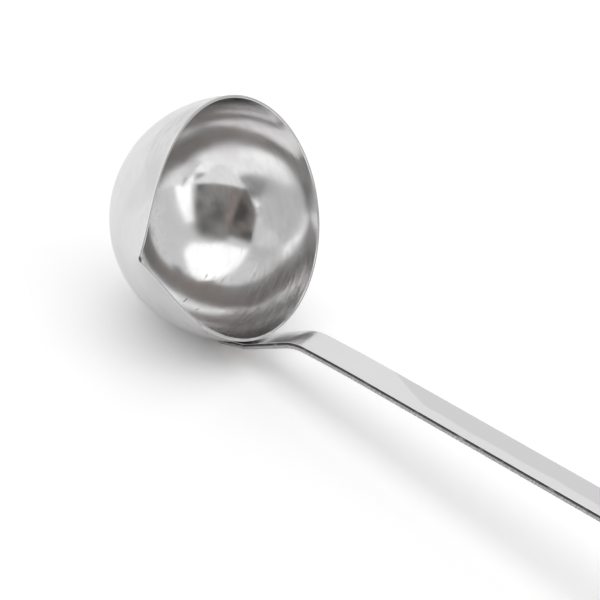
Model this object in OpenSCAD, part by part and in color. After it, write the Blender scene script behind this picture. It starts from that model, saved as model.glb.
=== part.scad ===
// Soup ladle: a deep drawn bowl with a pouring spout on one side, and a flat
// strap handle that is spot welded under the rim and ends in a hanging hook.
// Each piece is drawn standing up, with the middle of the mouth at the origin,
// the bowl hanging below it, the spout towards -Y and the strap on the +X side.
// The whole ladle is then laid on its back, where it rests on a table.

/* [Bowl] */
// Outside diameter of the round mouth
mouth_d = 90; // [70:1:120]
// Outside depth of the bowl, from the lip to the pole
bowl_depth = 51; // [42:1:70]
// Height of the straight band under the lip
band_h = 4; // [1:0.5:10]
// Thickness of the bowl's sheet
sheet_t = 1.1; // [0.8:0.1:1.6]
// Radius that softens the two edges of the lip, where the sheet is thick enough
lip_round = 0.3; // [0.1:0.05:0.4]

/* [Spout] */
// How far the tip of the spout stands out past the round mouth
spout_pull = 13; // [6:0.5:18]
// Angle from the tip of the spout to where its flank meets the round mouth
spout_sweep = 68; // [50:1:74]
// Depth below the lip at which the spout has died away
spout_depth = 30; // [20:1:36]
// Outside radius of the tip of the spout, seen from above
nose_r = 1.5; // [1.4:0.1:3]

/* [Strap] */
// Width of the strap
strap_w = 15; // [12:0.5:20]
// Thickness of the strap
strap_t = 2.5; // [2:0.1:3.5]
// Thickness of the tail, which is pressed thinner where it is welded
tail_t = 2.1; // [1.8:0.1:2.5]
// Radius of the strap's softened edges
edge_r = 0.35; // [0.2:0.05:0.8]
// Depth below the lip at which the tail touches the bowl
touch_depth = 13.8; // [11:0.2:18]
// Length of the tail from that touch up to the heel
tail_up = 8.5; // [6:0.5:9]
// Length of the tail from that touch down to its round end
tail_down = 8.5; // [8:0.5:14]
// Radius of the heel, on the inner face of the strap
heel_r = 2.5; // [1:0.5:5]
// Gap between the tail and the bowl where they touch
seat_gap = 0.05; // [0.02:0.01:0.2]
// Gap between the neck and the edge of the lip
lip_gap = 0.55; // [0.1:0.05:1]
// Length of the neck from the heel to the corner of the bend
neck_l = 23.3; // [18:0.1:40]
// Radius of the bend above the bowl, on the outer face of the strap
bend_r = 16; // [8:1:22]
// Lean of the grip away from the axis of the bowl
grip_lean = 28.2; // [15:0.1:40]
// Part of that lean that the grip takes up in a long gentle curve
ease_turn = 2.5; // [1:0.5:5]
// Radius of the long gentle curve, on the inner face of the strap
ease_r = 600; // [300:50:1200]
// Straight length of the grip
grip_l = 160; // [100:5:240]

/* [Hook] */
// Inside radius of the hook
hook_r = 13; // [8:0.5:20]
// Angle that the hook turns through
hook_turn = 150; // [120:5:170]
// Length of the leg beyond the hook, to its round end
leg_l = 24; // [12:1:40]

/* [Welds] */
// Number of weld nuggets along the tail
weld_count = 2; // [1:1:2]
// Diameter of a weld nugget
weld_d = 4.5; // [3:0.5:6]
// Distance between the weld nuggets
weld_pitch = 7; // [6.5:0.5:8]
// How deep a nugget reaches into the sheet of the bowl
weld_in_bowl = 0.6; // [0.3:0.1:0.7]
// How deep a nugget reaches into the strap
weld_in_strap = 1.2; // [0.5:0.1:1.5]
// Diameter of the mark that the welding tip leaves on the strap
mark_d = 6; // [4:0.5:6.5]
// Depth of that mark
mark_depth = 0.2; // [0.1:0.05:0.3]

/* [Hidden] */

// Round surfaces and the bowl's grid
$fn = 96;
around = 108;  // grid steps round the bowl
down_band = 2;  // grid steps down the straight band
down_bowl = 20;  // grid steps from the band to the pole
over_lip = 2;  // grid steps round each edge of the lip
nose_crowd = 0.8;  // how closely the grid steps crowd at the nose, from 0 for even steps
slope_step = 0.01;  // part of a fall used to take the slope of the bowl's surface

steel = [0.78, 0.79, 0.8];
strap_steel = [0.72, 0.73, 0.74];
weld_steel = [0.6, 0.6, 0.62];

mouth_r = mouth_d / 2;
round_depth = bowl_depth - band_h;
tip_r = mouth_r + spout_pull;

// Skin through a list of closed rings. Its two ends are flat, or each is drawn
// to a tip.
module skin(rings, tips = []) {
    n = len(rings[0]);
    end = len(rings) - 1;
    tip = len(rings) * n;
    function at(row, i) = row * n + i % n;
    sides = [for (j = [0:end - 1]) for (i = [0:n - 1]) for (k = [0, 1])
        k == 0 ? [at(j, i), at(j + 1, i), at(j + 1, i + 1)]
               : [at(j, i), at(j + 1, i + 1), at(j, i + 1)]];
    flat_ends = [[for (i = [0:n - 1]) at(0, i)], [for (i = [n - 1:-1:0]) at(end, i)]];
    tip_ends = [for (i = [0:n - 1]) for (k = [0, 1])
        k == 0 ? [at(0, i), at(0, i + 1), tip]
               : [at(end, i + 1), at(end, i), tip + 1]];
    polyhedron(
        points = concat([for (r = rings) for (p = r) p], tips),
        faces = concat(sides, len(tips) == 0 ? flat_ends : tip_ends),
        convexity = 6);
}

// Outline of the bowl.
// A place on the wall has an angle round the bowl, which is 0 at the spout and
// 90 at the strap, and a fall, which runs from 0 at the lip through 1 at the
// foot of the straight band to 2 at the pole.
function fall_turn(fall) = max(fall - 1, 0) * 90;
function wall_depth(fall) = min(fall, 1) * band_h + round_depth * sin(fall_turn(fall));
function wall_r(fall) = mouth_r * cos(fall_turn(fall));

// The spout stands out most at the lip and dies away down the wall
function spout_fade(depth) = pow(max(1 - depth / spout_depth, 0), 2);

// Angle that rounds the crease of the spout: it gives the nose its radius at
// the lip, and grows down the wall as the crease softens
flank_slope = spout_pull * tan(spout_sweep) / (1 - cos(spout_sweep));
nose_turn = flank_slope / (tip_r * tip_r * (1 / nose_r - 1 / tip_r)) * 180 / PI;
crease_growth = 12;
function crease_turn(depth) = nose_turn + crease_growth * depth / spout_depth;
function soft_angle(angle, depth) =
    let (c = crease_turn(depth)) sqrt(angle * angle + c * c) - c;

// Share of the spout's reach at an angle from its tip: straight flanks that
// run out of the nose and melt into the round mouth
function flank_share(angle) = angle >= spout_sweep ? 0
    : (1 / cos(spout_sweep - angle) - 1) / (1 / cos(spout_sweep) - 1);

function outer_point(angle, fall) =
    let (depth = wall_depth(fall),
         reach = spout_pull * spout_fade(depth) * flank_share(soft_angle(abs(angle), depth)),
         r = wall_r(fall) + reach)
    [r * sin(angle), -r * cos(angle), -depth];

// Outward direction of the wall, from the slopes of its surface
function wall_normal(angle, fall) =
    let (f = min(max(fall, slope_step), 2 - slope_step), turn = 10 * slope_step,
         across = outer_point(angle + turn, f) - outer_point(angle - turn, f),
         along = outer_point(angle, f + slope_step) - outer_point(angle, f - slope_step),
         n = cross(along, across))
    n / norm(n);

// The inside follows the outside at the thickness of the sheet, and the two
// walls end level with each other under the lip
lip_fall = lip_round / band_h;
function inner_point(angle, fall) =
    let (outside = outer_point(angle, fall), p = outside - sheet_t * wall_normal(angle, fall))
    fall == lip_fall ? [p[0], p[1], outside[2]] : p;

// Round edge of the lip, from the end of one wall up and over towards the other.
// The two edges together take no more than this share of the sheet.
lip_share = 0.8;
function lip_point(from, to, turn) =
    let (width = norm(to - from), inset = min(lip_round, width * lip_share / 2))
    from + inset * (1 - cos(turn)) * (to - from) / width + [0, 0, lip_round * sin(turn)];

// Grid angles, close together at the nose of the spout
function grid_angle(i) = let (t = 360 * i / around) t - nose_crowd * 180 / PI * sin(t);
function signed(angle) = angle > 180 ? angle - 360 : angle;

falls = concat([lip_fall], [for (i = [1:down_band - 1]) i / down_band],
               [for (i = [0:down_bowl - 1]) 1 + i / down_bowl]);
lip_turns = [for (i = [1:over_lip]) 90 * i / over_lip];

// Rings from the outside of the pole up the outer wall, over the lip and down
// the inner wall
module bowl_shell() {
    angles = [for (i = [0:around - 1]) signed(grid_angle(i))];
    outer = [for (f = falls) [for (a = angles) outer_point(a, f)]];
    inner = [for (f = falls) [for (a = angles) inner_point(a, f)]];
    outer_lip = [for (t = lip_turns)
        [for (i = [0:around - 1]) lip_point(outer[0][i], inner[0][i], t)]];
    inner_lip = [for (t = lip_turns)
        [for (i = [0:around - 1]) lip_point(inner[0][i], outer[0][i], t)]];
    rings = concat(
        [for (j = [len(outer) - 1:-1:0]) outer[j]],
        outer_lip,
        [for (j = [len(inner_lip) - 1:-1:0]) inner_lip[j]],
        inner);
    skin(rings, [[0, 0, -bowl_depth], [0, 0, sheet_t - bowl_depth]]);
}

// Run of the strap.
// It is followed along its inner face, the one towards the bowl, and its
// thickness stands outwards from there. The tail lies flat against the wall, so
// its lean is the slope of the wall where they touch.
touch_turn = asin((touch_depth - band_h) / round_depth);
touch = [mouth_r * cos(touch_turn), -touch_depth];
tail_lean = atan(mouth_r / round_depth * tan(touch_turn));
tail_way = [sin(tail_lean), cos(tail_lean)];
tail_out = [cos(tail_lean), -sin(tail_lean)];
seat = touch + tail_out * seat_gap;

// The neck passes the edge of the lip at the lip gap
heel = seat + tail_way * tail_up;
neck_lean = atan((heel[0] - mouth_r - lip_gap) / -heel[1]);
heel_turn = tail_lean + neck_lean;
bend_turn = neck_lean + grip_lean - ease_turn;

// The hook's inner wall is bored to its true radius, so its steps leave a
// little metal for the bore to take, and the straights beside it stand clear
bore_stock = 0.1;
bore_clear = 0.02;
half_w = strap_w / 2;
bend_face_r = bend_r + strap_t;
hook_face_r = hook_r + strap_t + bore_clear;

// Length of the corner that an arc takes from each straight beside it
function corner(r, turn) = r * tan(turn / 2);

// Steps of the strap from the round end of its tail to that of its leg: each is
// a length or a turn with its radius on the inner face, the thickness at its
// end, and the stations along it. A turn away from the bowl is positive.
steps = [
    [tail_up + tail_down - half_w - corner(heel_r, heel_turn), 0, 0, tail_t, 1],
    [0, -heel_turn, heel_r, tail_t, 4],
    [neck_l - corner(heel_r, heel_turn) - corner(bend_face_r, bend_turn), 0, 0, strap_t, 1],
    [0, bend_turn, bend_face_r, strap_t, 10],
    [0, ease_turn, ease_r, strap_t, 4],
    [grip_l, 0, 0, strap_t, 1],
    [0, hook_turn, hook_face_r, strap_t, 30],
    [leg_l - half_w, 0, 0, strap_t, 1]];
hook_step = 6;

// Place [x, z, lean] reached from another after a share of a step
function moved(place, s, share = 1) =
    let (lean = place[2], side = s[1] < 0 ? -1 : 1, turn = s[1] * share,
         along = s[0] * share + s[2] * sin(abs(turn)), out = side * s[2] * (1 - cos(turn)))
    [place[0] + along * sin(lean) + out * cos(lean),
     place[1] + along * cos(lean) - out * sin(lean),
     lean + turn];
function place_at(n) = n == 0
    ? let (p = seat - tail_way * (tail_down - half_w)) [p[0], p[1], tail_lean]
    : moved(place_at(n - 1), steps[n - 1]);
function thickness_at(n) = n == 0 ? tail_t : steps[n - 1][3];

// Cross section of the strap as [outwards, sideways] points, with softened
// corners. In a round end it is taken at a reach past the centre of the end.
tip_flat = 0.03;  // half width left at the very tip of a round end
tip_cut = 0.01;  // how far short of its full reach a round end stops
function section(t, reach = 0) =
    let (full = reach <= half_w - edge_r ? 90 : acos(1 - (half_w - reach) / edge_r),
         quarter = [for (j = [0:2])
             let (b = full * j / 2, side = half_w - edge_r * (1 - cos(b)))
             [t / 2 - edge_r + edge_r * sin(b),
              sqrt(max(side * side - reach * reach, tip_flat * tip_flat))]])
    [for (q = [0:3]) for (j = [0:2])
        let (c = quarter[q % 2 == 0 ? 2 - j : j], out = q == 0 || q == 3 ? 1 : -1, y = q < 2 ? 1 : -1)
        [t / 2 + out * c[0], y * c[1]]];

// The section set in place, on the middle plane of the ladle
function ring(place, points) =
    [for (c = points)
        [place[0] + c[0] * cos(place[2]), c[1], place[1] - c[0] * sin(place[2])]];

// Rings of a round end, from its tip to its centre
end_turns = [90, 84, 77, 68, 56, 42, 28, 14];
function end_rings(place, t, way) =
    [for (a = end_turns)
        let (reach = min(half_w * sin(a), half_w - tip_cut),
             p = moved(place, [way * reach, 0, 0]))
        ring(p, section(t, reach))];

// Rings along a step, from the place where it starts. The stations inside the
// hook carry the stock that its bore takes away.
function step_rings(n) =
    let (s = steps[n], from = place_at(n), t0 = thickness_at(n), count = s[4])
    [for (k = [1:count])
        let (stock = n == hook_step && k < count ? bore_stock : 0)
        ring(moved(from, s, k / count), section(t0 + (s[3] - t0) * k / count + stock))];

last = len(steps);
leg_rings = end_rings(place_at(last), strap_t, 1);
strap_rings = concat(
    end_rings(place_at(0), tail_t, -1),
    [ring(place_at(0), section(tail_t))],
    [for (n = [0:last - 1]) for (r = step_rings(n)) r],
    [for (i = [len(leg_rings) - 1:-1:0]) leg_rings[i]]);

// Centre of the hook, and the bore that gives its inner wall its true radius
hook_start = place_at(hook_step);
hook_centre = [hook_start[0] + hook_face_r * cos(hook_start[2]),
               hook_start[1] - hook_face_r * sin(hook_start[2])];
module hook_bore() {
    translate([hook_centre[0], 0, hook_centre[1]])
        rotate([90, 0, 0])
            cylinder(h = 2 * strap_w, r = hook_r, center = true);
}

// Places its children on the middle of the tail, at each weld, with +Z
// pointing out of the bowl and z = 0 on the inner face of the strap
module at_welds() {
    for (i = [0:weld_count - 1]) {
        p = seat + tail_way * weld_pitch * (i - (weld_count - 1) / 2);
        translate([p[0], 0, p[1]]) rotate([0, tail_lean + 90, 0]) children();
    }
}

module weld_nugget() {
    translate([0, 0, -weld_in_bowl])
        cylinder(h = weld_in_bowl + weld_in_strap, d = weld_d);
}

module weld_mark() {
    translate([0, 0, tail_t - mark_depth]) cylinder(h = tail_t, d = mark_d);
}

// How the ladle lies.
// It rests on two places: the tip of the leg, and whichever of the bowl and the
// tail reaches lowest. All are taken as small circles of the edge radius, given
// by their centres.
bowl_side = [for (t = [0:1:90])
    let (slope = atan2(sin(t) * mouth_r, cos(t) * round_depth))
    [mouth_r * cos(t) - edge_r * cos(slope),
     -band_h - round_depth * sin(t) + edge_r * sin(slope)]];
function tip_corner(place, way, out) =
    let (p = moved(place, [way * (half_w - edge_r), 0, 0]))
    [p[0] + out * cos(p[2]), p[1] - out * sin(p[2])];
tail_corner = tip_corner(place_at(0), -1, tail_t - edge_r);
leg_corners = [for (out = [edge_r, strap_t - edge_r]) tip_corner(place_at(last), 1, out)];
function lean_to(a, b) = atan2(b[0] - a[0], b[1] - a[1]);
function rest_from(corner) = min([for (c = concat(bowl_side, [tail_corner])) lean_to(c, corner)]);
rest_lean = max([for (c = leg_corners) rest_from(c)]);
rest_down = [cos(rest_lean), -sin(rest_lean)];
rest_depth = max([for (c = leg_corners) c * rest_down]) + edge_r;

// Ends of the ladle along the table, which its origin is midway between
rest_way = [sin(rest_lean), cos(rest_lean)];
far_end = hook_centre * rest_way + hook_face_r;
near_end = -band_h * cos(rest_lean)
    - norm([mouth_r * sin(rest_lean), round_depth * cos(rest_lean)]);
origin_along = (far_end + near_end) / 2;

// Across the table it is midway between the tip of the spout, just under its
// rounded edge, and the far side of the mouth
origin_across = -spout_pull * spout_fade(lip_round) / 2;

module laid_down() {
    translate([-origin_along, -origin_across, rest_depth])
        rotate([0, 90 - rest_lean, 0])
            children();
}

module bowl() {
    color(steel)
        laid_down()
            difference() {
                bowl_shell();
                at_welds() weld_nugget();
            }
}

module handle() {
    color(strap_steel)
        laid_down()
            difference() {
                skin(strap_rings);
                hook_bore();
                at_welds() weld_nugget();
                at_welds() weld_mark();
            }
}

module spot_welds() {
    color(weld_steel) laid_down() at_welds() weld_nugget();
}

bowl();
handle();
spot_welds();
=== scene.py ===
import bmesh
import bpy
import numpy as np
from mathutils import Matrix, Vector


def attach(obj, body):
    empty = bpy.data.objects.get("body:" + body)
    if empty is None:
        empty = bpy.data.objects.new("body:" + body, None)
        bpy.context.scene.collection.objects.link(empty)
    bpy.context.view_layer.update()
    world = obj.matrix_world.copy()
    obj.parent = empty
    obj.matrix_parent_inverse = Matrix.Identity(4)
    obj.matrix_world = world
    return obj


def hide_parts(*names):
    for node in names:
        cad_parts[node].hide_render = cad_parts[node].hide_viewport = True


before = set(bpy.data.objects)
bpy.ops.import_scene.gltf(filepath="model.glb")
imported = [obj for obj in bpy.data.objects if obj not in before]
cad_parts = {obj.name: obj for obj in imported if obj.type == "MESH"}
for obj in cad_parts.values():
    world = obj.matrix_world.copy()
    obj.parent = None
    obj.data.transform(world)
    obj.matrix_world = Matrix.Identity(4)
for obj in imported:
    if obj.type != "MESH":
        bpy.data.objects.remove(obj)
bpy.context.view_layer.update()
mm = 0.001

# How the standing ladle is laid down: the axis of its mouth, upright till then, ends
# this far above level, and the middle of its mouth comes to this place in millimetres
resting = {
    "leanDeg": 33.9454,
    "mouthMiddle": (-98.4589, 6.3707, 49.3370),
}


def layDown(points):
    # Turns points about Y by a quarter turn less the lean, then shifts them
    turn = np.radians(90 - resting["leanDeg"])
    x, y, z = np.moveaxis(np.asarray(points, float), -1, 0)
    laid = np.stack([x * np.cos(turn) + z * np.sin(turn), y, z * np.cos(turn) - x * np.sin(turn)], -1)
    return (laid + np.array(resting["mouthMiddle"])) * mm


def sinD(degrees):
    return np.sin(np.radians(degrees))


def cosD(degrees):
    return np.cos(np.radians(degrees))


def gridMesh(name, points, marks, closeStart=False, closeEnd=False, merge=0.0):
    # Skins a rows x columns array of points whose columns go round and close. A closed
    # start or end fans its ring to the ring's middle point. Marks is a vector for each
    # point, kept as the attribute "marks" for the finish to read. Merge joins points
    # nearer than that, in metres.
    rows, columns = points.shape[:2]
    vertices, values = points.reshape(-1, 3), marks.reshape(-1, 3)
    j, i = np.meshgrid(np.arange(rows - 1), np.arange(columns), indexing="ij")
    k = (i + 1) % columns
    quads = np.stack([j * columns + i, j * columns + k, (j + 1) * columns + k, (j + 1) * columns + i], -1)
    faces = quads.reshape(-1, 4).tolist()
    ring = np.arange(columns)
    for closed, row in ((closeStart, 0), (closeEnd, rows - 1)):
        if closed:
            middle = np.full(columns, len(vertices))
            vertices = np.vstack([vertices, points[row].mean(0)])
            values = np.vstack([values, marks[row].mean(0)])
            here, following = row * columns + ring, row * columns + (ring + 1) % columns
            fan = [following, here, middle] if row == 0 else [here, following, middle]
            faces += np.stack(fan, -1).tolist()
    mesh = bpy.data.meshes.new(name)
    mesh.from_pydata(vertices.tolist(), [], faces)
    mesh.attributes.new("marks", "FLOAT_VECTOR", "POINT").data.foreach_set("vector", values.ravel())
    mesh.update()
    piece = bpy.data.objects.new(name, mesh)
    bpy.context.scene.collection.objects.link(piece)
    if merge:
        work = bmesh.new()
        work.from_mesh(mesh)
        bmesh.ops.remove_doubles(work, verts=work.verts, dist=merge)
        work.to_mesh(mesh)
        work.free()
    mesh.shade_smooth()
    return piece


# The bowl, in millimetres and degrees as it stands
bowl = {
    "mouthWide": 90,
    "deep": 51,
    "band": 4,  # the straight band below the lip
    "sheet": 1.1,
    "lipRound": 0.3,
    "lipFoot": 0.12,  # share of the band above the wall's first row
    "spoutPull": 13,
    "spoutSweepDeg": 68,  # to each side of the spout's tip
    "spoutDeep": 30,  # where the spout has died away
    "noseRound": 1.5,  # radius of the crease at the lip
    "creaseGrowthDeg": 12,
    "stepsRound": 480,
    "noseCrowd": 0.86,  # 0 spaces the steps evenly, nearer 1 crowds them at the nose
    "bandSteps": 8,
    "bowlSteps": 84,
    "lipSteps": 5,
    "slopeFall": 0.004,  # the small steps that the wall's slopes are taken over
    "slopeTurnDeg": 0.04,
}


def spoutShare(angle):
    # (1 / cos(sweep - angle) - 1) / (1 / cos(sweep) - 1), and 0 past the sweep
    sweep = bowl["spoutSweepDeg"]
    left = np.clip(sweep - angle, 0, sweep)
    return (1 / cosD(left) - 1) / (1 / cosD(sweep) - 1)


def noseTurn():
    # The turn that gives the crease of the spout its radius at the lip, in degrees: slope of
    # the flank at the tip / (tip radius^2 x (1 / crease radius - 1 / tip radius))
    pull, sweep = bowl["spoutPull"], bowl["spoutSweepDeg"]
    tip = bowl["mouthWide"] / 2 + pull
    slope = pull * np.tan(np.radians(sweep)) / (1 - cosD(sweep))
    return np.degrees(slope / (tip * tip * (1 / bowl["noseRound"] - 1 / tip)))


def bowlOutside(angle, fall):
    # Radius = mouth radius x cos(fall past the band) + pull x (1 - depth / spout depth)^2
    # x the spout's share at the softened angle; angle 0 is the spout, fall 0 the lip,
    # 1 the foot of the straight band and 2 the pole
    mouth, roundDeep = bowl["mouthWide"] / 2, bowl["deep"] - bowl["band"]
    down = np.maximum(fall - 1, 0) * 90
    depth = np.minimum(fall, 1) * bowl["band"] + roundDeep * sinD(down)
    crease = noseTurn() + bowl["creaseGrowthDeg"] * depth / bowl["spoutDeep"]
    soft = np.sqrt(angle * angle + crease * crease) - crease
    fade = np.maximum(1 - depth / bowl["spoutDeep"], 0) ** 2
    radius = mouth * cosD(down) + bowl["spoutPull"] * fade * spoutShare(soft)
    return np.stack([radius * sinD(angle), -radius * cosD(angle), -depth], -1)


def bowlOutward(angle, fall):
    # Cross product of the surface's slopes down and round, made one long
    step, turn = bowl["slopeFall"], bowl["slopeTurnDeg"]
    inside = np.clip(fall, step, 2 - step)
    across = bowlOutside(angle + turn, inside) - bowlOutside(angle - turn, inside)
    along = bowlOutside(angle, inside + step) - bowlOutside(angle, inside - step)
    normal = np.cross(along, across)
    return normal / np.linalg.norm(normal, axis=-1, keepdims=True)


def bowlInside(angle, fall):
    # The outside moved in by the sheet, and brought up level with the lip at fall 0
    points = bowlOutside(angle, fall) - bowl["sheet"] * bowlOutward(angle, fall)
    points[..., 2] = np.where(fall <= 0, 0, points[..., 2])
    return points


def lipRows(angle, wall, topTo):
    # Quadratic curve from a point down the wall, round the lip's corner, to a point in
    # on its flat top
    corner = wall(angle, np.zeros_like(angle))
    down = wall(angle, np.full_like(angle, bowl["lipFoot"])) - corner
    down *= bowl["lipRound"] / np.linalg.norm(down, axis=-1, keepdims=True)
    over = topTo - corner
    over *= bowl["lipRound"] / np.linalg.norm(over, axis=-1, keepdims=True)
    t = np.linspace(0, 1, bowl["lipSteps"] + 1)[:, None, None]
    return (1 - t) ** 2 * (corner + down) + 2 * t * (1 - t) * corner + t ** 2 * (corner + over)


def makeBowl():
    # Rings from the outer pole up to the lip, round it and down to the inner pole
    t = np.linspace(0, 360, bowl["stepsRound"], endpoint=False)
    angle = t - np.degrees(bowl["noseCrowd"] * sinD(t))
    angle = np.where(angle > 180, angle - 360, angle)
    mirrored = np.abs(angle)
    side = np.where(angle < 0, -1.0, 1.0)

    def rowsOf(wall, falls):
        a, f = np.meshgrid(mirrored, falls)
        points = wall(a, f)
        points[..., 0] *= side
        return points

    bandFalls = np.linspace(bowl["lipFoot"], 1, bowl["bandSteps"], endpoint=False)
    bowlFalls = 1 + np.linspace(0, 1, bowl["bowlSteps"], endpoint=False)
    falls = np.concatenate([bandFalls, bowlFalls])
    outerLip = bowlOutside(mirrored, np.zeros_like(mirrored))
    innerLip = bowlInside(mirrored, np.zeros_like(mirrored))
    outerRound = lipRows(mirrored, bowlOutside, innerLip)
    innerRound = lipRows(mirrored, bowlInside, outerLip)
    for rows in (outerRound, innerRound):
        rows[..., 0] *= side
    points = np.concatenate([
        rowsOf(bowlOutside, falls)[::-1],
        outerRound,
        innerRound[::-1],
        rowsOf(bowlInside, falls),
    ])
    # Its marks are its places on the standing ladle, in millimetres
    return gridMesh("polished_bowl", layDown(points), points, closeStart=True, closeEnd=True)


# The strap handle and its welds, in millimetres and degrees
strap = {
    "wide": 15,
    "thick": 2.5,
    "tailThick": 2.1,
    "edgeRound": 0.35,
    "touchDeep": 13.8,  # depth below the lip where the tail meets the bowl
    "tailUp": 8.5,  # from there to the heel
    "tailDown": 8.5,  # from there to the tail's end
    "heelRound": 2.5,
    "seatGap": 0.05,
    "lipGap": 0.55,
    "neck": 23.3,
    "bendRound": 16,
    "gripLeanDeg": 28.2,
    "easeTurnDeg": 2.5,  # the gentle curve that follows the bend
    "easeRound": 600,
    "grip": 160,
    "hookRound": 13,
    "hookTurnDeg": 150,
    "leg": 24,
    "edgeSteps": 5,
    "flatSteps": 22,
    "flatCrowd": 0.8,  # below 1 crowds the steps at the edges
    "endSteps": 22,
    "endTurnsDeg": (90, 6),  # of the rows of a round end, from its tip
    "lastTurnDeg": 2,  # of one more row
    "mergeWithin": 2e-6,  # metres
}
weld = {
    "count": 2,
    "pitch": 7,
    "markWide": 6,
    "markDeep": 0.2,
    "rim": 0.5,
}


def tailSeat():
    # Where the tail touches the bowl's wall, the way up along the wall there, and how far
    # from upright the tail and the neck lean, in degrees
    mouth, roundDeep = bowl["mouthWide"] / 2, bowl["deep"] - bowl["band"]
    turn = np.arcsin((strap["touchDeep"] - bowl["band"]) / roundDeep)
    lean = np.arctan(mouth / roundDeep * np.tan(turn))
    way = np.array([np.sin(lean), np.cos(lean)])
    out = np.array([np.cos(lean), -np.sin(lean)])
    seat = np.array([mouth * np.cos(turn), -strap["touchDeep"]]) + out * strap["seatGap"]
    heel = seat + way * strap["tailUp"]
    neckLean = np.arctan((heel[0] - mouth - strap["lipGap"]) / -heel[1])
    return seat, way, np.degrees(lean), np.degrees(neckLean)


def strapStations():
    # Follows the strap's inner face as straights and arcs. A straight adds its length the
    # way the strap leans, an arc radius x sin(turn) that way and radius x (1 - cos(turn))
    # square to it. Each station is its place across and up, its lean, its thickness and
    # how far along the strap it is.
    seat, way, tailLean, neckLean = tailSeat()
    half, thick, tail = strap["wide"] / 2, strap["thick"], strap["tailThick"]
    heelTurn = tailLean + neckLean
    bendTurn = neckLean + strap["gripLeanDeg"] - strap["easeTurnDeg"]
    bend, hook = strap["bendRound"] + thick, strap["hookRound"] + thick
    heelCorner = strap["heelRound"] * np.tan(np.radians(heelTurn / 2))
    bendCorner = bend * np.tan(np.radians(bendTurn / 2))
    # Length, turn, radius on the inner face, thickness at the end, stations
    steps = [
        (strap["tailUp"] + strap["tailDown"] - half - heelCorner, 0, 0, tail, 44),
        (0, -heelTurn, strap["heelRound"], tail, 12),
        (strap["neck"] - heelCorner - bendCorner, 0, 0, thick, 12),
        (0, bendTurn, bend, thick, 36),
        (0, strap["easeTurnDeg"], strap["easeRound"], thick, 16),
        (strap["grip"], 0, 0, thick, 90),
        (0, strap["hookTurnDeg"], hook, thick, 100),
        (strap["leg"] - half, 0, 0, thick, 12),
    ]
    start = seat - way * (strap["tailDown"] - half)
    stations = [np.array([[start[0], start[1], tailLean, tail, 0.0]])]
    for length, turn, radius, thickEnd, count in steps:
        x, z, lean, thickNow, run = stations[-1][-1]
        share = np.linspace(0, 1, count + 1)[1:]
        turned = turn * share
        along = length * share + radius * sinD(np.abs(turned))
        out = np.sign(turn) * radius * (1 - cosD(turned))
        stations.append(np.stack([
            x + along * sinD(lean) + out * cosD(lean),
            z + along * cosD(lean) - out * sinD(lean),
            lean + turned,
            thickNow + (thickEnd - thickNow) * share,
            run + (length + radius * np.radians(abs(turn))) * share,
        ], -1))
    return np.concatenate(stations)


def strapSection():
    # Columns round the section: the share of the half width, how far the edge's rounding
    # draws it in, 1 on the outer half and -1 on the inner one, and how far the rounding
    # has climbed towards that face
    edge = strap["edgeRound"]
    b = np.linspace(0, 90, strap["edgeSteps"] + 1)
    drawnIn, rise = edge * (1 - cosD(b)), edge * sinD(b)
    flat = np.linspace(1, -1, strap["flatSteps"] + 1)[1:-1]
    flat = np.sign(flat) * np.abs(flat) ** strap["flatCrowd"]
    one = np.ones_like(b)
    share = np.concatenate([one, flat, -one, -one, -flat, one])
    inset = np.concatenate([drawnIn, np.full_like(flat, edge), drawnIn[::-1],
                            drawnIn, np.full_like(flat, edge), drawnIn[::-1]])
    upper = np.concatenate([one, np.ones_like(flat), one, -one, -np.ones_like(flat), -one])
    lift = np.concatenate([rise, np.full_like(flat, edge), rise[::-1],
                           rise, np.full_like(flat, edge), rise[::-1]])
    return share, inset, upper, lift


def weldPlaces():
    # How far along the strap each weld is
    middle = strap["tailDown"] - strap["wide"] / 2
    return [middle + weld["pitch"] * (k - (weld["count"] - 1) / 2) for k in range(weld["count"])]


def makeStrap():
    # The section carried along the stations, with a half circle of rows at each end, where
    # along = radius x sin(turn) and across = share of the half width x radius x cos(turn)
    stations = strapStations()
    half, edge = strap["wide"] / 2, strap["edgeRound"]
    endTurns = np.linspace(*strap["endTurnsDeg"], strap["endSteps"])
    endTurns = np.append(endTurns, strap["lastTurnDeg"])
    # Rows past the centre of a round end turn from 90 degrees at its tip to 0
    turns = np.concatenate([endTurns, np.zeros(len(stations)), endTurns[::-1]])
    past = np.ones(len(endTurns))
    ways = np.concatenate([-past, np.zeros(len(stations)), past])
    startRows = np.repeat(stations[:1], len(endTurns), 0)
    endRows = np.repeat(stations[-1:], len(endTurns), 0)
    rows = np.concatenate([startRows, stations, endRows])
    share, inset, upper, lift = strapSection()
    x, z, lean, thick, run = [c[:, None] for c in rows.T]
    turn, way = turns[:, None], ways[:, None]
    radius = half - inset[None, :]
    along = way * radius * sinD(turn)
    across = share[None, :] * radius * cosD(turn)
    out = thick / 2 + upper[None, :] * (thick / 2 - edge + lift[None, :])
    # Shallow round marks where the welding tips pressed the tail's outer face
    depth = np.zeros_like(out)
    for place in weldPlaces():
        inRim = (weld["markWide"] + weld["rim"]) / 2 - np.hypot(run + along - place, across)
        depth += weld["markDeep"] * np.clip(inRim / weld["rim"], 0, 1)
    out = out - np.where(upper[None, :] > 0, depth, 0)
    points = np.stack([
        x + along * sinD(lean) + out * cosD(lean),
        across,
        z + along * cosD(lean) - out * sinD(lean),
    ], -1)
    # Its marks are the way along it and across it in millimetres, and the share of its
    # thickness, which is 0 on the inner face and 1 on the outer one
    through = 0.5 + upper[None, :] * (0.5 - (edge - lift[None, :]) / thick)
    marks = np.stack([run + along, across, through], -1)
    return gridMesh("strap_handle", layDown(points), marks, merge=strap["mergeWithin"])


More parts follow.
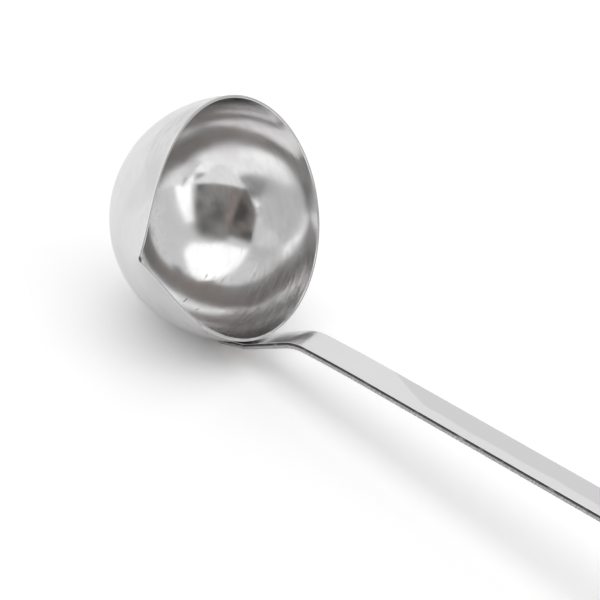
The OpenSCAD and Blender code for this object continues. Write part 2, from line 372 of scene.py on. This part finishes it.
bowlPiece = makeBowl()
print("bowl:", len(bowlPiece.data.vertices), "vertices")
strapPiece = makeStrap()
print("strap:", len(strapPiece.data.vertices), "vertices")
for piece, node, slotName in ((bowlPiece, "bowl", "bowl_steel"), (strapPiece, "handle", "strap_steel")):
    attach(piece, "root")
    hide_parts(node)


# The finishes, as nodes: a function adds one to the tree and gives its output
def feed(tree, socket, value):
    # Sets a socket to a number or a colour, or links an output to it
    if isinstance(value, (int, float)):
        socket.default_value = value
    elif isinstance(value, tuple):
        socket.default_value = (*value, 1)
    else:
        tree.links.new(value, socket)


def newMath(tree, operation, a, b=0.0):
    node = tree.nodes.new("ShaderNodeMath")
    node.operation = operation
    feed(tree, node.inputs[0], a)
    feed(tree, node.inputs[1], b)
    return node.outputs[0]


def newPlus(tree, a, b):
    return newMath(tree, "ADD", a, b)


def newMinus(tree, a, b):
    return newMath(tree, "SUBTRACT", a, b)


def newTimes(tree, a, b):
    return newMath(tree, "MULTIPLY", a, b)


def newLength(tree, first, *others):
    # Square root of the sum of the squares
    total = newTimes(tree, first, first)
    for value in others:
        total = newPlus(tree, total, newTimes(tree, value, value))
    return newMath(tree, "SQRT", total)


def newStep(tree, value, low, high, toLow=0.0, toHigh=1.0):
    # Smooth step from toLow at low to toHigh at high; low may be the larger of the two
    node = tree.nodes.new("ShaderNodeMapRange")
    node.interpolation_type = "SMOOTHSTEP"
    tree.links.new(value, node.inputs["Value"])
    node.inputs["From Min"].default_value = min(low, high)
    node.inputs["From Max"].default_value = max(low, high)
    node.inputs["To Min"].default_value = toLow if low < high else toHigh
    node.inputs["To Max"].default_value = toHigh if low < high else toLow
    return node.outputs["Result"]


def newMask(tree, *limits):
    # Product of smooth steps, one for each value with its pair of where it starts and
    # where it is whole
    mask = None
    for value, (start, whole) in limits:
        step = newStep(tree, value, start, whole)
        mask = step if mask is None else newTimes(tree, mask, step)
    return mask


def newMix(tree, share, a, b):
    # a x (1 - share) + b x share, for colours
    node = tree.nodes.new("ShaderNodeMix")
    node.data_type = "RGBA"
    feed(tree, node.inputs["Factor"], share)
    feed(tree, node.inputs["A"], a)
    feed(tree, node.inputs["B"], b)
    return node.outputs["Result"]


def newVector(tree, x, y, z):
    node = tree.nodes.new("ShaderNodeCombineXYZ")
    for socket, value in zip(node.inputs, (x, y, z)):
        feed(tree, socket, value)
    return node.outputs["Vector"]


def newNoise(tree, vector, scale, detail=2.0, fourth=None):
    node = tree.nodes.new("ShaderNodeTexNoise")
    node.noise_dimensions = "3D" if fourth is None else "4D"
    tree.links.new(vector, node.inputs["Vector"])
    if fourth is not None:
        tree.links.new(fourth, node.inputs["W"])
    node.inputs["Scale"].default_value = scale
    node.inputs["Detail"].default_value = detail
    return node.outputs["Fac"]


def newBump(tree, height, rise, before=None):
    # Rise is how far, in metres, the surface climbs as the height goes from 0 to 1
    node = tree.nodes.new("ShaderNodeBump")
    node.inputs["Strength"].default_value = 1
    node.inputs["Distance"].default_value = rise
    tree.links.new(height, node.inputs["Height"])
    if before is not None:
        tree.links.new(before, node.inputs["Normal"])
    return node.outputs["Normal"]


def newMaterial(name):
    material = bpy.data.materials.new(name)
    material.use_nodes = True
    tree = material.node_tree
    return material, tree, tree.nodes["Principled BSDF"]


steelMetallic = 0.95


def newSteel(name):
    # A steel and the marks of its piece
    material, tree, shader = newMaterial(name)
    shader.inputs["Metallic"].default_value = steelMetallic
    attribute = tree.nodes.new("ShaderNodeAttribute")
    attribute.attribute_name = "marks"
    return material, tree, shader, attribute.outputs["Vector"]


def newSplit(tree, vector):
    split = tree.nodes.new("ShaderNodeSeparateXYZ")
    tree.links.new(vector, split.inputs["Vector"])
    return split.outputs


# The bowl's finish. A pair is where a mask starts and where it is whole. Places are in
# millimetres on the standing bowl, scales are for such places, and rises are in metres.
polish = {
    "bright": (0.87, 0.867, 0.868),
    "dull": (0.80, 0.795, 0.796),
    # the dark spot at the spout's tip is painted shade of its pinched fold
    "tipShade": (0.18, 0.175, 0.17),
    "fleck": (0.50, 0.49, 0.48),
    "worn": (0.69, 0.682, 0.68),
    "clean": 0.085,
    "smeared": 0.17,
    "smearScale": 0.05,
    "smearMask": (0.38, 0.68),
    "lineScale": 1.3,
    "lineRise": 0.0000012,
    "lineRough": 0.05,
    "axisGap": 1.0,  # the lines stop turning this near to the bowl's axis
    "waveScale": 0.075,
    "waveRise": 0.00009,
    "dashScale": 0.9,
    "dashTurn": 7.0,
    "streakMask": (0.42, 0.72),
    "streakShare": 0.8,
    "fleckMask": (0.69, 0.76),
    "fleckSide": (14.0, 30.0),
    "fleckRough": 0.2,
    "wornMask": (0.44, 0.6),
    "wornHeight": (-30.0, -16.0),
    "wornSide": (18.0, 34.0),
    "wornShell": (0.985, 0.965),
    "tipShadeReach": (1.7, 0.8),
}


def mirrorPolish():
    # Lines that follow the turning of the bowl under the wheel, smears, a slight wave
    # left by the drawing, flecks and a worn patch on the wall beside the handle, and a
    # dark spot of painted shade at the pinched fold of the spout's tip
    material, tree, shader, place = newSteel("mirror_steel")
    x, y, z = newSplit(tree, place)
    fromAxis = newLength(tree, x, y)
    divisor = newMath(tree, "MAXIMUM", fromAxis, polish["axisGap"])
    wayX, wayY = newMath(tree, "DIVIDE", x, divisor), newMath(tree, "DIVIDE", y, divisor)
    scale = polish["lineScale"]
    ringPlace = newVector(tree, newTimes(tree, fromAxis, scale), wayX, wayY)
    rings = newNoise(tree, ringPlace, 1.0, detail=4.0, fourth=newTimes(tree, z, scale))
    smears = newNoise(tree, place, polish["smearScale"], detail=3.0)
    scale, turn = polish["dashScale"], polish["dashTurn"]
    dashPlace = newVector(tree, newTimes(tree, fromAxis, scale), newTimes(tree, wayX, turn),
                          newTimes(tree, wayY, turn))
    dashes = newNoise(tree, dashPlace, 1.0, detail=1.0, fourth=newTimes(tree, z, scale))
    flecks = newMask(tree, (dashes, polish["fleckMask"]), (x, polish["fleckSide"]))
    # (radius / mouth radius)^2 + (depth under the band / round depth)^2 is 1 on the outer
    # face and about 0.95 on the inner one, which alone is worn
    wide = newMath(tree, "DIVIDE", fromAxis, bowl["mouthWide"] / 2)
    deep = newMath(tree, "MAXIMUM", newMinus(tree, -bowl["band"], z), 0.0)
    deep = newMath(tree, "DIVIDE", deep, bowl["deep"] - bowl["band"])
    shell = newPlus(tree, newTimes(tree, wide, wide), newTimes(tree, deep, deep))
    worn = newMask(tree, (dashes, polish["wornMask"]), (z, polish["wornHeight"]),
                   (x, polish["wornSide"]), (shell, polish["wornShell"]))
    # A dark spot of painted shade at the pinched fold of the spout's tip
    offTip = newMinus(tree, y, -bowl["mouthWide"] / 2 - bowl["spoutPull"])
    tipShaded = newStep(tree, newLength(tree, x, z, offTip), *polish["tipShadeReach"])
    streaks = newStep(tree, dashes, *polish["streakMask"], 0.0, polish["streakShare"])
    colour = newMix(tree, newStep(tree, smears, *polish["smearMask"]), polish["bright"], polish["dull"])
    colour = newMix(tree, streaks, colour, polish["dull"])
    colour = newMix(tree, worn, colour, polish["worn"])
    colour = newMix(tree, flecks, colour, polish["fleck"])
    tree.links.new(newMix(tree, tipShaded, colour, polish["tipShade"]), shader.inputs["Base Color"])
    rough = newStep(tree, smears, *polish["smearMask"], polish["clean"], polish["smeared"])
    rough = newPlus(tree, rough, newTimes(tree, rings, polish["lineRough"]))
    rough = newPlus(tree, rough, newTimes(tree, flecks, polish["fleckRough"]))
    tree.links.new(rough, shader.inputs["Roughness"])
    waves = newNoise(tree, place, polish["waveScale"], detail=1.0)
    normal = newBump(tree, rings, polish["lineRise"], newBump(tree, waves, polish["waveRise"]))
    tree.links.new(normal, shader.inputs["Normal"])
    return material


# The strap's finish. A pair is where a mask starts and where it is whole. Along, across
# and away from a weld are in millimetres, and through is a share of the thickness.
satin = {
    "bright": (0.885, 0.878, 0.882),
    "second": (0.77, 0.757, 0.765),
    "edge": (0.36, 0.355, 0.355),
    "edgeDark": (0.08, 0.077, 0.076),
    # the bright band along the rounded corner next to the inner face is a painted highlight
    "cornerHighlight": (0.92, 0.92, 0.92),
    "heat": (0.52, 0.43, 0.33),
    "faceRough": 0.16,
    "grainRough": 0.12,
    "edgeRough": 0.42,
    "grainAcross": 4.5,
    "grainAlong": 0.05,
    "grainMask": (0.55, 0.95),
    "grainRise": 0.000002,
    "edgeRise": 0.00003,
    "passAlong": (60.0, 92.0),  # over this stretch the second pass's limit
    "passAcross": (9.0, -2.6),  # moves from the first to the second of these
    "passSoft": 0.9,
    "wanderAlong": 0.06,
    "wanderAcross": 3.0,
    "heatInner": (2.2, 3.0),  # away from a weld
    "heatOuter": (4.6, 3.2),
    "heatFace": (0.97, 0.99),  # through
    "heatShare": 0.55,
    "sideMask": (0.492, 0.46),  # from the middle of the thickness
    "speckAlong": 1.6,
    "speckThrough": 5.0,
    "speckMask": (0.3, 0.62),
    "lineAlong": 0.22,
    "lineSeed": 3.0,
    "lineMask": (0.3, 0.5),
    "lineLeast": 0.45,
    "lineTop": (0.05, 0.12),  # through, as the next three are
    "lineFoot": (0.58, 0.34),
    "cornerHighlightTop": (0.002, 0.02),
    "cornerHighlightFoot": (0.09, 0.05),
}


def satinStrap():
    # Lengthwise grain with a second polishing pass that starts on a slant, blanked edges
    # with a dark line under a painted highlight along the top corner, and heat rings round the marks of
    # the welds
    material, tree, shader, marks = newSteel("strap_steel")
    along, across, through = newSplit(tree, marks)
    middle = newMath(tree, "ABSOLUTE", newMinus(tree, through, 0.5))
    onSide = newStep(tree, middle, *satin["sideMask"])
    grainPlace = newVector(tree, newTimes(tree, along, satin["grainAlong"]),
                           newTimes(tree, across, satin["grainAcross"]), through)
    grain = newNoise(tree, grainPlace, 1.0, detail=3.0)
    # The second pass lies past a limit across the strap that wanders a little
    wander = newNoise(tree, newVector(tree, newTimes(tree, along, satin["wanderAlong"]), 0.0, 0.0), 1.0)
    wander = newTimes(tree, newMinus(tree, wander, 0.5), satin["wanderAcross"])
    limit = newPlus(tree, newStep(tree, along, *satin["passAlong"], *satin["passAcross"]), wander)
    second = newStep(tree, newMinus(tree, across, limit), -satin["passSoft"], satin["passSoft"])
    colour = newMix(tree, second, satin["bright"], satin["second"])
    colour = newMix(tree, newStep(tree, grain, *satin["grainMask"]), colour, satin["second"])
    # Heat rings on the outer face, round each weld
    near = None
    for place in weldPlaces():
        away = newLength(tree, newMinus(tree, along, place), across)
        near = away if near is None else newMath(tree, "MINIMUM", near, away)
    heat = newMask(tree, (near, satin["heatInner"]), (near, satin["heatOuter"]),
                   (through, satin["heatFace"]))
    heat = newTimes(tree, heat, satin["heatShare"])
    colour = newMix(tree, heat, colour, satin["heat"])
    # The edges: specks, and a dark line that comes and goes below the painted highlight along the corner
    speckPlace = newVector(tree, newTimes(tree, along, satin["speckAlong"]), 0.0,
                           newTimes(tree, through, satin["speckThrough"]))
    specks = newNoise(tree, speckPlace, 1.0, detail=4.0)
    sideTone = newMix(tree, newStep(tree, specks, *satin["speckMask"]), satin["second"], satin["edge"])
    linePlace = newVector(tree, newTimes(tree, along, satin["lineAlong"]), 0.0, satin["lineSeed"])
    comes = newNoise(tree, linePlace, 1.0, detail=3.0)
    line = newMask(tree, (through, satin["lineTop"]), (through, satin["lineFoot"]))
    line = newTimes(tree, line, newStep(tree, comes, *satin["lineMask"], satin["lineLeast"], 1.0))
    sideTone = newMix(tree, line, sideTone, satin["edgeDark"])
    colour = newMix(tree, onSide, colour, sideTone)
    # A painted highlight: a bright band along the rounded corner next to the inner face
    cornerHighlight = newMask(tree, (through, satin["cornerHighlightTop"]), (through, satin["cornerHighlightFoot"]))
    tree.links.new(newMix(tree, cornerHighlight, colour, satin["cornerHighlight"]), shader.inputs["Base Color"])
    faceRough = newPlus(tree, newTimes(tree, grain, satin["grainRough"]), satin["faceRough"])
    rougher = newTimes(tree, onSide, newMinus(tree, satin["edgeRough"], faceRough))
    tree.links.new(newPlus(tree, faceRough, rougher), shader.inputs["Roughness"])
    normal = newBump(tree, newTimes(tree, specks, onSide), satin["edgeRise"])
    normal = newBump(tree, grain, satin["grainRise"], normal)
    tree.links.new(normal, shader.inputs["Normal"])
    return material


nugget = {
    "straw": (0.50, 0.44, 0.36),
    "blue": (0.36, 0.38, 0.45),
    "tintScale": 180.0,
    "tintMask": (0.35, 0.65),
    "grainScale": 900.0,
    "grainMask": (0.3, 0.7),
    "rough": (0.35, 0.6),
    "rise": 0.00004,
}


def weldMetal():
    # Cast grain, tinted from straw to blue by the heat
    material, tree, shader = newMaterial("weld_steel")
    shader.inputs["Metallic"].default_value = 1
    place = tree.nodes.new("ShaderNodeTexCoord").outputs["Object"]
    grain = newNoise(tree, place, nugget["grainScale"], detail=4.0)
    tint = newStep(tree, newNoise(tree, place, nugget["tintScale"], detail=1.0), *nugget["tintMask"])
    tree.links.new(newMix(tree, tint, nugget["straw"], nugget["blue"]), shader.inputs["Base Color"])
    rough = newStep(tree, grain, *nugget["grainMask"], *nugget["rough"])
    tree.links.new(rough, shader.inputs["Roughness"])
    tree.links.new(newBump(tree, grain, nugget["rise"]), shader.inputs["Normal"])
    return material


bowlPiece.data.materials.append(mirrorPolish())
strapPiece.data.materials.append(satinStrap())
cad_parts["spot_welds"].data.materials[0] = weldMetal()
print("finishes: polished bowl, satin strap, weld metal")

# The camera, in metres, turned about its own axis as the photograph is
camera = {
    "place": (0.2121001, -0.5119947, 0.3895844),
    "aim": (-0.0675571, 0.0102872, 0.0309443),
    "rollDeg": 19.04117,
    "sensorMm": 36,
    "imageWide": 600,
    "focalPixels": 1899.29,
    "clip": (0.05, 20),
}


def makeCamera():
    data = bpy.data.cameras.new("camera")
    data.sensor_width = camera["sensorMm"]
    data.lens = camera["sensorMm"] * camera["focalPixels"] / camera["imageWide"]
    data.clip_start, data.clip_end = camera["clip"]
    piece = bpy.data.objects.new("camera", data)
    bpy.context.scene.collection.objects.link(piece)
    forward = (Vector(camera["aim"]) - Vector(camera["place"])).normalized()
    right = forward.cross(Vector((0, 0, 1))).normalized()
    up = right.cross(forward)
    roll = np.radians(camera["rollDeg"])
    turnedRight = right * np.cos(roll) + up * np.sin(roll)
    turnedUp = up * np.cos(roll) - right * np.sin(roll)
    axes = Matrix((turnedRight, turnedUp, -forward)).transposed()
    piece.matrix_world = Matrix.Translation(camera["place"]) @ axes.to_4x4()
    bpy.context.scene.camera = piece


makeCamera()
print("camera: lens", round(bpy.context.scene.camera.data.lens, 1), "mm")

# The studio: a white table that ends in front of the ladle, and lights all round it.
# The table reaches so many metres from its middle. Its tone is paper in the light that it
# gives the ladle, glare to the camera and sheen in what the ladle reflects.
table = {
    "middle": (-0.10, 0.0),
    "frontDeg": 175,
    "front": 0.45,
    "back": 4.0,
    "side": 3.0,
    "paper": 0.8,
    "glare": 1.34,
    "sheen": 1.1,
}


def grey(tone):
    return (tone, tone, tone)


def makeTable():
    # A flat sheet whose near edge faces the azimuth frontDeg
    turn = np.radians(table["frontDeg"])
    ahead = np.array([np.sin(turn), np.cos(turn)])
    aside = np.array([ahead[1], -ahead[0]])
    front, back, side = table["front"], -table["back"], table["side"]
    corners = []
    for reach, over in ((front, side), (front, -side), (back, -side), (back, side)):
        place = np.array(table["middle"]) + ahead * reach + aside * over
        corners.append((place[0], place[1], 0))
    mesh = bpy.data.meshes.new("table")
    mesh.from_pydata(corners, [], [(0, 1, 2, 3)])
    piece = bpy.data.objects.new("table", mesh)
    bpy.context.scene.collection.objects.link(piece)
    material, tree, shader = newMaterial("table_paper")
    path = tree.nodes.new("ShaderNodeLightPath")
    tone = newMix(tree, path.outputs["Is Glossy Ray"], grey(table["paper"]), grey(table["sheen"]))
    tone = newMix(tree, path.outputs["Is Camera Ray"], tone, grey(table["glare"]))
    tree.links.new(tone, shader.inputs["Base Color"])
    shader.inputs["Roughness"].default_value = 1
    shader.inputs["Specular IOR Level"].default_value = 0
    mesh.materials.append(material)


makeTable()
print("table: ends", table["front"], "m in front of its middle")

# The light all round, and the lamps and flags that stand in it. Each has two tones that
# a soft cloud mixes, how soft its edges are, and its corners as the bowl sees them, in
# azimuth (90 is +X, 180 is -Y) and elevation, going clockwise; later ones stand in front.
room = {
    "wall": 0.66,
    "cloudScale": 3.5,
    "cloudMask": (0.38, 0.62),
    "cards": [
        ("back wall", grey(0.84), grey(0.78), 0.15,
         [(-150, -20), (-150, 60), (-8, 60), (-8, -20)]),
        ("far flag", grey(0.20), grey(0.28), 0.04,
         [(-50, 57), (-40, 73), (22, 68), (22, 55)]),
        ("near flag", grey(0.22), grey(0.30), 0.04,
         [(10, 57), (14, 67), (38, 61), (33, 52)]),
        ("end wall", grey(0.42), grey(0.50), 0.14,
         [(170, -50), (170, 42), (208, 38), (208, -50)]),
        ("dim flag", (0.10, 0.097, 0.094), (0.25, 0.243, 0.236), 0.06,
         [(109, -50), (106, 44), (113, 52), (155, 52), (155, -50)]),
        ("dark flag", (0.055, 0.052, 0.05), (0.18, 0.163, 0.152), 0.06,
         [(150, -50), (150, 46), (190, 40), (190, -50)]),
        ("brown flag", (0.27, 0.235, 0.215), (0.19, 0.168, 0.155), 0.03,
         [(142, -12), (142, 36), (151, 36), (151, -12)]),
        ("flank flag", grey(0.50), grey(0.44), 0.05,
         [(34, 6), (34, 16), (50, 30), (50, 8)]),
        ("side lamp", grey(1.35), grey(1.35), 0.03,
         [(84, -3), (97, 36), (107, 35), (102, -3)]),
        ("overhead lamp", grey(1.3), grey(1.3), 0.03,
         [(95, 55), (74, 58), (30, 70), (-60, 60), (-120, 57), (-160, 42), (-210, 55)]),
    ],
}


def wayTo(azimuth, elevation):
    # (sin azimuth x cos elevation, cos azimuth x cos elevation, sin elevation)
    return np.array([sinD(azimuth) * cosD(elevation), cosD(azimuth) * cosD(elevation), sinD(elevation)])


def makeWorld():
    # A direction is on a card if it lies inside the plane through each edge and the bowl
    world = bpy.data.worlds.new("studio")
    bpy.context.scene.world = world
    world.use_nodes = True
    tree = world.node_tree
    way = tree.nodes.new("ShaderNodeTexCoord").outputs["Generated"]
    light = grey(room["wall"])
    cloud = newStep(tree, newNoise(tree, way, room["cloudScale"], detail=3.0), *room["cloudMask"])
    for name, tone, otherTone, soft, corners in room["cards"]:
        limits = []
        for start, end in zip(corners, corners[1:] + corners[:1]):
            inward = np.cross(wayTo(*start), wayTo(*end))
            inward /= np.linalg.norm(inward)
            inside = tree.nodes.new("ShaderNodeVectorMath")
            inside.operation = "DOT_PRODUCT"
            inside.label = name
            inside.inputs[1].default_value = inward
            tree.links.new(way, inside.inputs[0])
            limits.append((inside.outputs["Value"], (-soft, soft)))
        light = newMix(tree, newMask(tree, *limits), light, newMix(tree, cloud, tone, otherTone))
    path = tree.nodes.new("ShaderNodeLightPath")
    shown = newMix(tree, path.outputs["Is Camera Ray"], light, grey(1.0))
    tree.links.new(shown, tree.nodes["Background"].inputs["Color"])


makeWorld()
print("studio:", len(room["cards"]), "lamps, walls and flags")
bpy.context.scene.view_settings.view_transform = "Standard"
